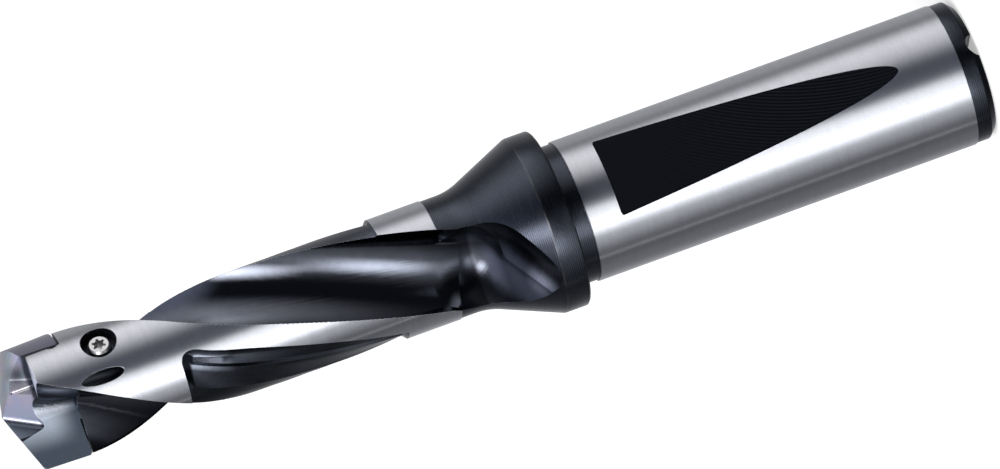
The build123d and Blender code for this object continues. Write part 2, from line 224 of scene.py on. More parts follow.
def makeFloor():
    half = floor["size"] / 2
    mesh = bpy.data.meshes.new("floor")
    mesh.from_pydata([(-half, -half, 0), (half, -half, 0), (half, half, 0), (-half, half, 0)],
                     [], [(0, 1, 2, 3)])
    ground = bpy.data.objects.new("floor", mesh)
    scene.collection.objects.link(ground)
    material, book = newMaterial("floorWhite")
    paper = book.add("ShaderNodeBsdfDiffuse", {}, {"Color": grey(floor["colour"])})
    glow = book.add("ShaderNodeEmission", {}, {
        "Color": grey(1.0), "Strength": book.whiteRays() * floor["glow"]})
    both = book.add("ShaderNodeAddShader", {}, {0: paper, 1: glow})
    book.add("ShaderNodeOutputMaterial", {}, {"Surface": both})
    mesh.materials.append(material)
    ground.visible_glossy = False   # the dome's lower half stands for it in reflections


makeFloor()


# Light: a white world, one broad lamp, and a far dome of light cards that only reflections see.
# Azimuths run from -Y towards -X, and levels are heights above the horizon, all in degrees.
light = {"world": 0.75, "lampPower": 9.0, "lampSize": 0.9, "lampPlace": (-0.5, -0.8, 1.1),
         "domeRadius": 5.0, "domeAround": 96, "domeLevels": 48, "shade": (0.93, 0.98, 1.17, 1.0),
         "dark": 0.042, "pale": 1.45, "paleRise": (24.0, 66.0), "darkSide": 125.0,
         "darkReach": 90.0}
cards = [
    {"azimuth": -74.0, "reach": 46.0, "level": 12.0, "height": 52.0, "strength": 1.75,
     "colour": (1.0, 0.985, 0.97, 1.0)},
    {"azimuth": -90.0, "reach": 24.0, "level": -3.0, "height": 15.0, "strength": 1.2,
     "colour": (1.0, 0.99, 0.98, 1.0)},
    {"azimuth": -128.0, "reach": 36.0, "level": 0.0, "height": 60.0, "strength": 0.4,
     "colour": (1.0, 1.0, 1.0, 1.0)},
    {"azimuth": 44.0, "reach": 50.0, "level": 0.0, "height": 70.0, "strength": 0.95,
     "colour": (0.99, 0.995, 1.0, 1.0)},
    {"azimuth": 36.0, "reach": 20.0, "level": 0.0, "height": 75.0, "strength": 0.5,
     "colour": (0.99, 0.995, 1.0, 1.0)},
    {"azimuth": 32.0, "reach": 21.0, "level": 5.0, "height": 17.0, "strength": 6.5,
     "colour": (1.0, 1.0, 1.0, 1.0)},
    {"azimuth": 13.0, "reach": 19.0, "level": 29.0, "height": 17.0, "strength": 13.0,
     "colour": (1.0, 0.98, 0.97, 1.0)},
    {"azimuth": 6.0, "reach": 26.0, "level": -31.0, "height": 12.0, "strength": 1.1,
     "colour": (0.94, 0.98, 1.0, 1.0)},
    {"azimuth": 90.5, "reach": 3.0, "level": 0.0, "height": 60.0, "strength": 0.7,
     "colour": (1.0, 0.99, 0.96, 1.0)},
    {"azimuth": 118.0, "reach": 50.0, "level": 0.0, "height": 60.0, "strength": 0.2,
     "colour": (1.0, 1.0, 1.0, 1.0)},
    {"azimuth": 180.0, "reach": 60.0, "level": 0.0, "height": 80.0, "strength": 0.6,
     "colour": (0.97, 0.98, 1.0, 1.0)},
]


def ball(radius, around, levels):   # spots and faces of a sphere about the origin
    spots = [(0, 0, -radius)]
    for level in range(1, levels):
        rise = math.pi * level / levels - math.pi / 2
        for k in range(around):
            turn = 2 * math.pi * k / around
            spots.append((radius * math.cos(rise) * math.cos(turn),
                          radius * math.cos(rise) * math.sin(turn), radius * math.sin(rise)))
    spots.append((0, 0, radius))
    faces = []
    last = len(spots) - 1
    for k in range(around):
        after = (k + 1) % around
        faces.append((0, 1 + after, 1 + k))
        faces.append((last, last - around + k, last - around + after))
        for level in range(levels - 2):
            low = 1 + level * around
            faces.append((low + k, low + after, low + around + after, low + around + k))
    return spots, faces


def lightDome():
    mesh = bpy.data.meshes.new("lightDome")
    spots, faces = ball(light["domeRadius"], light["domeAround"], light["domeLevels"])
    mesh.from_pydata(spots, [], faces)
    dome = bpy.data.objects.new("lightDome", mesh)
    scene.collection.objects.link(dome)
    material, book = newMaterial("lightCards")
    x, y, z = book.place()
    azimuth = (0 - x).maths("ARCTAN2", 0 - y) * (180 / math.pi)
    level = (z / (light["domeRadius"] / mm)).maths("ARCSINE") * (180 / math.pi)
    steep = rising(level, *light["paleRise"]) * (light["pale"] - light["dark"])
    away = (azimuth - light["darkSide"]).maths("WRAP", 180.0, -180.0)
    base = light["dark"] + steep * (1 - hump(away, 0, light["darkReach"]))
    total = book.add("ShaderNodeEmission", {}, {"Color": light["shade"], "Strength": base})
    for card in cards:
        away = (azimuth - card["azimuth"]).maths("WRAP", 180.0, -180.0)
        shape = hump(away, 0, card["reach"]) * hump(level, card["level"], card["height"])
        glow = book.add("ShaderNodeEmission", {}, {
            "Color": card["colour"], "Strength": shape * card["strength"]})
        total = book.add("ShaderNodeAddShader", {}, {0: total, 1: glow})
    book.add("ShaderNodeOutputMaterial", {}, {"Surface": total})
    mesh.materials.append(material)
    for kind in ("camera", "diffuse", "shadow", "transmission", "volume_scatter"):
        setattr(dome, "visible_" + kind, False)


def makeLight():
    world = bpy.data.worlds.new("studio")
    scene.world = world
    world.use_nodes = True
    book = NodeBook(world.node_tree)
    strength = light["world"] + book.whiteRays() * (1 - light["world"])
    sky = book.add("ShaderNodeBackground", {}, {0: grey(1.0), 1: strength})
    book.add("ShaderNodeOutputWorld", {}, {"Surface": sky})
    data = bpy.data.lights.new("softbox", "AREA")
    data.shape = "DISK"
    data.size = light["lampSize"]
    data.energy = light["lampPower"]
    lamp = bpy.data.objects.new("softbox", data)
    lamp.location = light["lampPlace"]
    lamp.rotation_euler = (-lamp.location).to_track_quat("-Z", "Y").to_euler()
    lamp.visible_glossy = False
    lamp.visible_camera = False
    scene.collection.objects.link(lamp)


makeLight()
lightDome()
print("floor and light ready")


farOut = 20.0       # reach of a cutter that has to leave the body altogether


def arc(middle, radius, start, end, count):
    return [(middle[0] + radius * math.cos(math.radians(start + (end - start) * k / count)),
             middle[1] + radius * math.sin(math.radians(start + (end - start) * k / count)))
            for k in range(count + 1)]


def spun(spots, angle):
    c, s = math.cos(math.radians(angle)), math.sin(math.radians(angle))
    return [(x * c - y * s, x * s + y * c) for x, y in spots]


def smooth(value, low=0.0, high=1.0):
    share = min(max((value - low) / (high - low), 0.0), 1.0)
    return share * share * (3 - 2 * share)


def radialFrame(angle, z, radius=0.0):      # its x runs round the drill, y up it and z outwards
    turn = math.radians(angle)
    outward = Vector((math.cos(turn), math.sin(turn), 0))
    matrix = Matrix.Identity(4)
    matrix.col[0][:3] = (-math.sin(turn), math.cos(turn), 0)
    matrix.col[1][:3] = (0, 0, 1)
    matrix.col[2][:3] = outward
    matrix.col[3][:3] = outward * radius + Vector((0, 0, z))
    return matrix


def newPiece(name, spots, faces, slots):
    mesh = bpy.data.meshes.new(name)
    mesh.from_pydata([tuple(spot) for spot in np.asarray(spots) * mm], [], faces)
    for finish in finishes:
        mesh.materials.append(finish)
    mesh.polygons.foreach_set("material_index", slots)
    mesh.update()
    piece = bpy.data.objects.new(name, mesh)
    scene.collection.objects.link(piece)
    return piece


def stackRings(name, rings, slots):     # closed skin over outlines that run anticlockwise
    count = len(rings[0])
    faces = []
    finish = []
    for level in range(len(rings) - 1):
        low = level * count
        for k in range(count):
            after = (k + 1) % count
            faces.append((low + k, low + after, low + count + after))
            faces.append((low + k, low + count + after, low + count + k))
            finish += [slots[k], slots[k]]
    faces.append(tuple(reversed(range(count))))
    faces.append(tuple(range((len(rings) - 1) * count, len(rings) * count)))
    finish += [slots[0], slots[0]]
    return newPiece(name, np.concatenate(rings), faces, finish)


def lathe(name, profile, slots, around, frameMatrix=None):  # profile from the axis back to it
    ring = [(math.cos(2 * math.pi * k / around), math.sin(2 * math.pi * k / around))
            for k in range(around)]
    inner = profile[1:-1]
    spots = [(r * c, r * s, z) for r, z in inner for c, s in ring]
    low, high = len(spots), len(spots) + 1
    spots += [(0, 0, profile[0][1]), (0, 0, profile[-1][1])]
    faces = []
    finish = []
    top = (len(inner) - 1) * around
    for k in range(around):
        after = (k + 1) % around
        faces += [(low, after, k), (high, top + k, top + after)]
        finish += [slots[0], slots[-1]]
        for level in range(len(inner) - 1):
            base = level * around
            faces.append((base + k, base + after, base + around + after, base + around + k))
            finish.append(slots[level + 1])
    if frameMatrix is not None:
        spots = [tuple(frameMatrix @ Vector(spot)) for spot in spots]
    return newPiece(name, spots, faces, finish)


def drilled(name, radius, low, high, slot, frameMatrix=None, around=72):
    return lathe(name, [(0, low), (radius, low), (radius, high), (0, high)], [slot] * 3,
                 around, frameMatrix)


def prism(name, outline, low, high, slot, frameMatrix=None):
    rings = [[Vector((x, y, z)) for x, y in outline] for z in (low, high)]
    if frameMatrix is not None:
        rings = [[frameMatrix @ spot for spot in ring] for ring in rings]
    return stackRings(name, [np.array([tuple(spot) for spot in ring]) for ring in rings],
                      [slot] * len(outline))


def halfTurned(piece):      # the same cutter on the drill's other side
    mesh = piece.data.copy()
    mesh.transform(Matrix.Rotation(math.pi, 4, "Z"))
    other = bpy.data.objects.new(piece.name + "Too", mesh)
    scene.collection.objects.link(other)
    return other


def joined(pieces):
    with bpy.context.temp_override(active_object=pieces[0], object=pieces[0],
                                   selected_objects=pieces, selected_editable_objects=pieces):
        bpy.ops.object.join()
    return pieces[0]


def carve(piece, tool):
    cut = piece.modifiers.new("cut", "BOOLEAN")
    cut.object = tool
    cut.operation = "DIFFERENCE"
    cut.solver = "EXACT"
    bpy.context.view_layer.update()
    shape = bpy.data.meshes.new_from_object(
        piece.evaluated_get(bpy.context.evaluated_depsgraph_get()))
    piece.modifiers.clear()
    piece.data = shape
    bpy.data.objects.remove(tool)


# Drill body, in millimetres and degrees. Its sizes are those of the frame's solid, but the rear
# flute, the run-out and the recess follow the photograph more closely. The loops are extra rings
# along a straight stretch, and clear is a radius outside the lands.
body = {"band": 7.88, "bandTop": 2.4, "bevel": 0.79, "shank": 8.0,
        "shankLoops": (8.0, 15.0, 25.0, 35.0, 43.0), "neck": 7.8, "neckLow": 46.5,
        "flange": 10.0, "flangeLow": 48.4, "flangeTop": 51.1, "flangeBevel": 0.23,
        "flangeCorner": 0.06, "coneAngle": 23.0, "rootRadius": 7.0, "waist": 6.7, "land": 6.8,
        "landLow": 62.1, "landLoops": (66, 70, 76, 82, 88, 94, 100, 104.6), "jaw": 108.6,
        "jawEdge": 0.1, "jawLoop": 3.0, "edge": 0.04, "bandEase": (0.07, 0.03, 0.04, 0.07),
        "flangeEase": (0.05, 0.03, 0.03, 0.07), "clear": 13.0, "around": 360, "smoothAngle": 24.0}


def bevelled(radius, z, size, ease):    # ends at the radius, and ease softens its two corners
    return [(radius - size - ease[0], z), (radius - size + ease[1], z + ease[1]),
            (radius - ease[2], z + size - ease[2]), (radius, z + size + ease[3])]


def turnedStock():      # a face has the finish of the stretch that its lower point is in
    edge = body["edge"]
    bend = math.radians(body["coneAngle"])
    corner = body["flangeCorner"]
    root = body["rootRadius"]
    coneEnd = body["flangeTop"] + (body["flange"] - body["waist"]) / math.tan(bend)
    rootSpot = (body["waist"] + root, coneEnd + root * math.tan(bend / 2))
    end = [(0, 0), (coolant["inlet"] + coolant["bevel"], 0)]
    end += bevelled(body["band"], 0, body["bevel"], body["bandEase"])
    end += [(body["band"], body["bandTop"] - 1.5 * edge), (body["band"], body["bandTop"])]
    shank = [(body["shank"] - edge, body["bandTop"]), (body["shank"], body["bandTop"] + edge)]
    shank += [(body["shank"], z) for z in (*body["shankLoops"], body["neckLow"] - 2 * edge)]
    cone = [(body["shank"] - 2 * edge, body["neckLow"]), (body["neck"], body["neckLow"]),
            (body["neck"], body["flangeLow"])]
    cone += bevelled(body["flange"], body["flangeLow"], body["flangeBevel"], body["flangeEase"])
    cone += [(body["flange"], body["flangeTop"] - 2.5 * corner),
             (body["flange"] - corner / 4, body["flangeTop"] - edge),
             (body["flange"] - corner, body["flangeTop"] + corner / math.tan(bend))]
    cone += arc(rootSpot, root, 180 + body["coneAngle"], 180, 10)
    cone += [(body["waist"], body["landLow"])]
    land = [(body["land"] - edge, body["landLow"] + edge),
            (body["land"], body["landLow"] + 3 * edge)]
    land += [(body["land"], z) for z in (*body["landLoops"], body["jaw"] - body["jawEdge"])]
    land += [(body["land"] - body["jawEdge"] / 2, body["jaw"]), (body["jawLoop"], body["jaw"]),
             (0, body["jaw"])]
    stretches = [(turned, end), (ground, shank), (turned, cone), (ground, land)]
    slots = [finish for finish, spots in stretches for spot in spots]
    return lathe("drillBody", end + shank + cone + land, slots[:-1], body["around"])


flute = {"core": 2.1, "heel": 5.1, "rake": 7.4, "wall": 5.15, "frontLead": 76.0, "rearLead": 132.0,
         "changeMiddle": 88.8, "changeLength": 7.5, "heelAngle": -70.3, "rearHeel": 7.0,
         "rearTurn": 4.7, "step": 0.5, "past": 1.0, "heelSteps": 44, "rakeSteps": 30}
runout = {"radius": 5.2, "turn": 6.1, "z": 60.02, "lean": 48.7, "tilt": 29.2, "blend": 3.5,
          "lipRadius": 5.8, "lipTurn": 3.1, "lipZ": 59.19, "lipRise": 1.0, "inside": 0.015,
          "stemLoop": 5.0, "ballSteps": 40, "around": 160}


def fluteTurn(z):       # turn of the flutes in degrees, counted from the jaw faces
    front = 360 / flute["frontLead"]
    rear = 360 / flute["rearLead"]
    change = flute["changeLength"]
    high = flute["changeMiddle"] + change / 2
    if z >= high:
        return (z - body["jaw"]) * front
    down = min(high - z, change)
    turn = (high - body["jaw"]) * front - down * front + (front - rear) * down * down / (2 * change)
    return turn - max(0.0, high - change - z) * rear


def halfAngle(radius):      # where a round cut down to the core crosses the land's surface
    middle = flute["core"] + radius
    return math.degrees(math.acos(
        (body["land"] ** 2 + middle ** 2 - radius ** 2) / (2 * body["land"] * middle)))


marginAngle = math.degrees(math.asin(flute["wall"] / body["land"]))
fluteAngle = flute["heelAngle"] - halfAngle(flute["heel"])
leadAngle = fluteAngle + 180 - marginAngle


def fluteSection(heel, rake, rakeTurn, wall, inside=0.0):   # with the flute's middle on its x axis
    heelSide = arc((flute["core"] + heel + inside, 0), heel, 90, 180, flute["heelSteps"])
    rakeSide = arc((flute["core"] + rake + inside, 0), rake, 180, 180 + rakeTurn,
                   flute["rakeSteps"])
    return [(body["clear"], heel)] + heelSide + rakeSide[1:] + [(body["clear"], -wall)]


def fluteTool():        # at its rear end it is just inside the ball, which then takes over
    width = runout["radius"] - runout["inside"]
    end = spun(fluteSection(width, width, 90, width, runout["inside"]), -runout["turn"])
    high = flute["changeMiddle"] + flute["changeLength"] / 2
    low = runout["z"]
    rings = []
    for k in range(int((body["jaw"] + flute["past"] - low) / flute["step"]) + 1):
        z = low + flute["step"] * k
        rear = smooth((high - z) / flute["changeLength"])
        heel = flute["heel"] + (flute["rearHeel"] - flute["heel"]) * rear
        back = halfAngle(heel) - halfAngle(flute["heel"]) + flute["rearTurn"] * rear
        wall = body["land"] * math.sin(math.radians(marginAngle - back))
        rakeTurn = math.degrees(math.asin(wall / flute["rake"]))
        full = spun(fluteSection(heel, flute["rake"], rakeTurn, wall), -back)
        share = smooth((z - low) / runout["blend"])
        spots = [(a * (1 - share) + c * share, b * (1 - share) + d * share)
                 for (a, b), (c, d) in zip(end, full)]
        rings.append(np.array([(x, y, z) for x, y in spun(spots, fluteAngle + fluteTurn(z))]))
    return stackRings("fluteTool", rings, [fluted] * len(end))


def runoutFrame(radius, turn, z, rise):     # at the ball's centre, its z along the cutter's stem
    place = radialFrame(fluteAngle + fluteTurn(z) - turn, z, flute["core"] + radius + rise)
    place = place @ Matrix.Rotation(math.radians(-runout["lean"]), 4, "Y")
    return place @ Matrix.Rotation(math.radians(runout["tilt"]), 4, "X")


def runoutTool(name, radius, turn, z, rise):
    profile = arc((0, 0), radius, -90, 0, runout["ballSteps"])
    profile += [(radius, runout["stemLoop"]), (radius, farOut), (0, farOut)]
    profile[0] = (0, -radius)
    return lathe(name, profile, [hollowed] * (len(profile) - 1), runout["around"],
                 runoutFrame(radius, turn, z, rise))


# The recess's floor is given by heights over its deepest line and shares of the way to the heel.
# Mouth, lip, strips, heelPast and apart are degrees, and a bend says from where to where.
recess = {"front": 93.2, "length": 24.9, "depth": 0.95, "frontSlope": 32.0, "rearSlope": 50.0,
          "corner": 2.4, "wall": 0.8, "wallSteps": 8, "mouth": 1.5, "lip": 0.35, "strip": 22.4,
          "frontStrip": 4.2, "frontBend": (85.0, 91.0), "rearStrip": 1.6, "rearBend": (77.0, 69.0),
          "floor": ((0.05, 0.13), (0.12, 0.21), (0.40, 0.24), (0.44, 0.34), (0.48, 0.44)),
          "heelFloor": (0.51, 0.6, 0.7), "heelDepth": 0.2, "heelLeast": 0.15, "heelRun": 5.0,
          "heelPast": (10.0, 12.0), "apart": 0.2, "outside": 1.2, "cover": 1.0,
          "coverShares": (0.6, 0.3), "skin": 0.05, "rearLevels": 26, "levelStep": 0.5,
          "frontLevels": 60}


def recessOutline(inset, heel):     # radius and angle, from the margin's wall to the heel and back
    start = leadAngle - recess["strip"]
    span = leadAngle - flute["heelAngle"]
    bottom = body["land"] - recess["depth"]
    outside = body["land"] + recess["outside"]
    wall = [(outside, recess["mouth"]), (body["land"], recess["lip"])]
    for k in range(recess["wallSteps"] + 1):
        fall = math.pi / 2 * k / recess["wallSteps"]
        inward = math.degrees(recess["wall"] * (1 - math.cos(fall)) / bottom)
        wall.append((bottom + recess["wall"] * (1 - math.sin(fall)), -recess["lip"] - inward))
    behind = [(bottom + rise, start - share * span) for rise, share in recess["floor"]]
    behind += [(heel, start - share * span) for share in recess["heelFloor"]]
    behind += [(r, flute["heelAngle"] - past)
               for r, past in zip((heel, outside), recess["heelPast"])]
    outline = [(r, start + turn - inset) for r, turn in wall]
    for r, angle in behind:
        outline.append((r, min(angle, outline[-1][1] - recess["apart"])))
    return outline + [(outside + recess["cover"], start - share * span)
                      for share in recess["coverShares"]]


def recessRing(z, low, high):
    corner = recess["corner"]
    back = min(max(corner - (high - z), 0.0), corner)
    inset = math.degrees((corner - math.sqrt(corner ** 2 - back ** 2)) / body["land"])
    inset += recess["frontStrip"] * smooth(z, *recess["frontBend"])
    inset += recess["rearStrip"] * smooth(z, *recess["rearBend"])
    share = smooth((high - z) / recess["heelRun"]) * (1 - recess["heelLeast"]) + recess["heelLeast"]
    if z > (high + low) / 2:
        gate = body["land"] + (z - high) * math.tan(math.radians(recess["frontSlope"]))
    else:
        gate = body["land"] + (low - z) * math.tan(math.radians(recess["rearSlope"]))
    ring = []
    for r, angle in recessOutline(inset, body["land"] - recess["heelDepth"] * share):
        r = max(r, gate + recess["skin"] if r > body["land"] else gate)
        spin = math.radians(angle + fluteTurn(z))
        ring.append((r * math.cos(spin), r * math.sin(spin), z))
    return np.array(ring)


def recessTool():
    high = recess["front"]
    low = high - recess["length"]
    step = recess["levelStep"]
    frontRun = 2 * recess["depth"] / math.tan(math.radians(recess["frontSlope"]))
    rearRun = 2 * recess["depth"] / math.tan(math.radians(recess["rearSlope"]))
    levels = [*np.linspace(low - rearRun, low + rearRun, recess["rearLevels"]),
              *np.arange(low + rearRun + step, high - frontRun - 0.6 * step, step),
              *np.linspace(high - frontRun, high + frontRun, recess["frontLevels"])]
    rings = [recessRing(z, low, high) for z in levels]
    return stackRings("recessTool", rings, [recessed] * len(rings[0]))


slotCut = {"angle": -103.9, "width": 5.36, "floor": 104.6, "height": 5.0, "opening": 1.5,
           "notch": 0.9, "notchDepth": 0.25, "notchReach": 1.2, "gap": 0.26}


def slotFrame():        # its x runs along the slot, y across it and z up the drill
    turn = math.radians(slotCut["angle"])
    result = Matrix.Identity(4)
    result.col[0][:3] = (math.sin(turn), -math.cos(turn), 0)
    result.col[1][:3] = (math.cos(turn), math.sin(turn), 0)
    result.col[2][:3] = (0, 0, 1)
    return result


def slotTool():
    half, edge = slotCut["width"] / 2, slotCut["opening"]
    outline = [(-farOut, -farOut), (-edge, -farOut), (-edge, -half), (farOut, -half),
               (farOut, farOut), (edge, farOut), (edge, half), (-farOut, half)]
    return prism("slotTool", outline, slotCut["floor"], slotCut["floor"] + slotCut["height"],
                 slotted, slotFrame())


def notchTool():        # the round notch in a jaw's face, near the slot's floor
    half, radius, depth = slotCut["width"] / 2, slotCut["notch"], slotCut["notchDepth"]
    reach = math.sqrt(body["land"] ** 2 - half ** 2)
    halfChord = math.sqrt(radius ** 2 - (radius - depth) ** 2)
    z = slotCut["floor"] + slotCut["gap"] + halfChord
    place = slotFrame() @ Matrix.Translation((-reach, half + depth - radius, z))
    return drilled("notchTool", radius, -slotCut["notchReach"], slotCut["notchReach"], slotted,
                   place @ Matrix.Rotation(math.pi / 2, 4, "Y"), 48)


flat = {"front": 42.9, "length": 33.85, "depth": 1.41, "angle": -71.5,
        "corner": ((4.6, -0.45), (4.54, -0.22), (4.42, -0.08), (4.15, 0)), "groove": 1.3,
        "grooveDepth": 1.05, "grooveFrom": 0.5}


def flatTool():     # the flat's front wall has rounded corners
    tilt = math.atan(flat["depth"] / flat["length"])
    place = radialFrame(flat["angle"], flat["front"], body["shank"] - flat["depth"])
    place = place @ Matrix.Rotation(-tilt, 4, "X")
    right = [(farOut, -2 * farOut), (farOut, flat["corner"][0][1]), *flat["corner"]]
    outline = right + [(-x, y) for x, y in reversed(right)]
    return prism("flatTool", outline, 0, farOut, flatted, place)


def grooveTool():       # across the end face, in line with the flat
    return drilled("endGroove", flat["groove"], flat["grooveFrom"], 2 * body["shank"], turned,
                   radialFrame(flat["angle"], flat["grooveDepth"] - flat["groove"]))


screwPlace = {"angle": -51.0, "z": 100.7, "bore": 2.0, "seat": 5.0, "hole": 1.02,
              "holeFrom": 0.2, "holeTo": 5.5}
coolant = {"inlet": 3.0, "inletDepth": 50.0, "bevel": 0.5, "below": 1.0, "web": 1.2,
           "webLow": 40.0, "webPast": 4.0, "outlet": 0.75, "outletFrom": 3.0, "outletTo": 30.0,
           "slope": 18.0, "angle": -85.6, "exit": 101.7}


def screwTools():
    place = radialFrame(screwPlace["angle"], screwPlace["z"])
    counterbore = drilled("screwBore", screwPlace["bore"], screwPlace["seat"], body["clear"],
                          bored, place)
    hole = drilled("screwHole", screwPlace["hole"], screwPlace["holeFrom"], screwPlace["holeTo"],
                   bored, place, 48)
    return counterbore, hole


def coolantTools():     # the inlet, the bore along the web and one of the two sloping holes
    radius, bevel = coolant["inlet"], coolant["bevel"]
    depth, below = coolant["inletDepth"], coolant["below"]
    profile = [(0, -below), (radius + bevel, -below), (radius + bevel, 0), (radius, bevel),
               (radius, depth), (0, depth)]
    inlet = lathe("inletBore", profile, [bored] * 5, 72)
    rise = math.radians(coolant["slope"])
    meet = coolant["exit"] - body["land"] / math.tan(rise)
    web = drilled("webBore", coolant["web"], coolant["webLow"], meet + coolant["webPast"], bored,
                  around=48)
    out = Vector((*spun([(math.sin(rise), 0)], coolant["angle"])[0], math.cos(rise)))
    place = Matrix.Translation((0, 0, meet)) @ out.to_track_quat("Z", "Y").to_matrix().to_4x4()
    outlet = drilled("coolantOutlet", coolant["outlet"], coolant["outletFrom"],
                     coolant["outletTo"], bored, place, 64)
    return inlet, web, outlet


def makeBody():
    piece = turnedStock()
    ball = runoutTool("runoutTool", runout["radius"], runout["turn"], runout["z"], 0)
    lip = runoutTool("lipTool", runout["lipRadius"], runout["lipTurn"], runout["lipZ"],
                     runout["lipRise"])
    for tool in (fluteTool(), ball, lip, recessTool()):
        carve(piece, joined([tool, halfTurned(tool)]))
    counterbore, hole = screwTools()
    inlet, web, outlet = coolantTools()
    notch = notchTool()
    carve(piece, joined([slotTool(), counterbore, inlet, flatTool()]))
    carve(piece, joined([grooveTool(), notch, halfTurned(notch), outlet, halfTurned(outlet)]))
    carve(piece, joined([web, hole]))
    return piece


def smoothSkin(piece, angle):
    mesh = piece.data
    mesh.polygons.foreach_set("use_smooth", [True] * len(mesh.polygons))
    mesh.set_sharp_from_angle(angle=math.radians(angle))
    skin = bmesh.new()
    skin.from_mesh(mesh)
    for edge in skin.edges:     # two finishes meet at a sharp edge, however flat it is
        if len({face.material_index for face in edge.link_faces}) > 1:
            edge.smooth = False
    skin.to_mesh(mesh)
    skin.free()
    mesh.update()


# Steel finishes, each named for where the real drill shows it. Relief and soft edges are in
# millimetres. A pair says where a change starts and where it ends, in millimetres or degrees,
# but for the flange's two rims it is their middle and reach.
# The darkest colour is painted shade, laid where the flutes end, in the recess and in the run-out's
# bowl; the tip has its own.
oxide = {"plain": (0.072, 0.079, 0.098, 1.0), "pale": (0.098, 0.106, 0.128, 1.0),
         "paintedShade": (0.012, 0.014, 0.019, 1.0)}


def stretched(amount):      # turned or ground metal, whose sheen is drawn out one way
    return {"Metallic": 1.0, "Anisotropic": amount, "Anisotropic Rotation": 0.25}


groundLook = {"tone": (0.645, 0.66, 0.70, 1.0), "worn": (0.50, 0.515, 0.56, 1.0), "rough": 0.25,
              "relief": 0.004, "edge": 0.05, "stretch": 1.0}


def groundSteel(book):
    spot = book.place()
    fine = book.cells(spot, 0.25, 9, 3.0, 0.6)
    coarse = book.cells(spot, 0.1, 1.7)
    grain = book.cells(spot, 5, 5, 3.0, 0.7)
    worn = (fine * 0.5 + coarse * 0.4 + (grain - 0.5) * 1.2).clamped()
    return {"Base Color": book.mix(worn, groundLook["tone"], groundLook["worn"]),
            "Roughness": groundLook["rough"] + fine * 0.07 + coarse * 0.03 + grain * 0.05,
            "Normal": book.bump(fine + grain * 0.5, groundLook["relief"], groundLook["edge"])}


turnedLook = {"low": (0.024, 0.028, 0.038, 1.0), "high": (0.072, 0.08, 0.10, 1.0),
              "pitch": 0.215, "rim": (0.16, 0.155, 0.155, 1.0), "frontRim": (51.15, 0.14),
              "rearRim": (48.5, 0.12), "rough": 0.22, "relief": 0.006, "edge": 0.06,
              "stretch": 0.6}


def turnedBlack(book):      # rings round the drill, and a paler, patchy band at the edges on both sides of the flange
    spot = book.place()
    z = spot[2]
    ring = (z * (2 * math.pi / turnedLook["pitch"])).maths("SINE") * 0.5 + 0.5
    patch = book.cells(spot, 0.5, 3, 3.0)
    tone = book.mix((ring * 0.7 + patch * 0.3).clamped(), turnedLook["low"], turnedLook["high"])
    rim = hump(z, *turnedLook["frontRim"]) + hump(z, *turnedLook["rearRim"])
    rim = (rim * (patch * 3.2 - 1.2)).clamped()
    return {"Base Color": book.mix(rim, tone, turnedLook["rim"]),
            "Roughness": turnedLook["rough"] + patch * 0.1,
            "Normal": book.bump(ring + patch, turnedLook["relief"], turnedLook["edge"])}


# rim is the colour of a painted highlight on the flute's cut edge, and end is where painted shade
# deepens towards the rear
fluteLook = {"streaks": 9, "streakTurn": 4.3, "rim": (0.5, 0.5, 0.52, 1.0), "rimFrom": 6.73,
             "rimSlope": 18, "end": (64.5, 60.5), "rough": 0.06, "relief": 0.009, "edge": 0.07}


def fluteBlack(book):       # streaks along the flute, a painted highlight along its outer cut edges, and painted shade at its rear end
    spot = book.place()
    x, y, z = spot
    turn = y.maths("ARCTAN2", x) - z * math.radians(fluteLook["streakTurn"])
    count = fluteLook["streaks"]
    around = book.vector(turn.maths("COSINE") * count, turn.maths("SINE") * count, z * 0.12)
    streak = book.noise(around, 3.0)
    mottle = book.cells(spot, 1.2, 1.2, 3.0)
    tone = book.mix(mottle, oxide["plain"], oxide["pale"])
    # painted highlight: the flute's edge next to the land is streaked pale
    rim = (distance(x, y) - fluteLook["rimFrom"]) * fluteLook["rimSlope"]
    tone = book.mix((rim * streak * 1.6).clamped(), tone, fluteLook["rim"])
    # painted shade: the flute darkens towards its rear end
    return {"Base Color": book.mix(ramp(z, *fluteLook["end"]) * 0.7, tone, oxide["paintedShade"]),
            "Roughness": fluteLook["rough"] + mottle * 0.05 + streak * 0.03,
            "Normal": book.bump(streak + mottle * 0.4, fluteLook["relief"], fluteLook["edge"])}


# floor is the colour of a painted reflection on the recess's floor near the front; the other height
# and turn ranges say where painted shade falls
recessLook = {"floor": (0.14, 0.155, 0.19, 1.0), "floorTurn": (44, 48), "pale": (87.6, 90.0),
              "dark": (80, 85), "floorShade": (73, 77), "rough": 0.2, "relief": 0.008,
              "edge": 0.08}


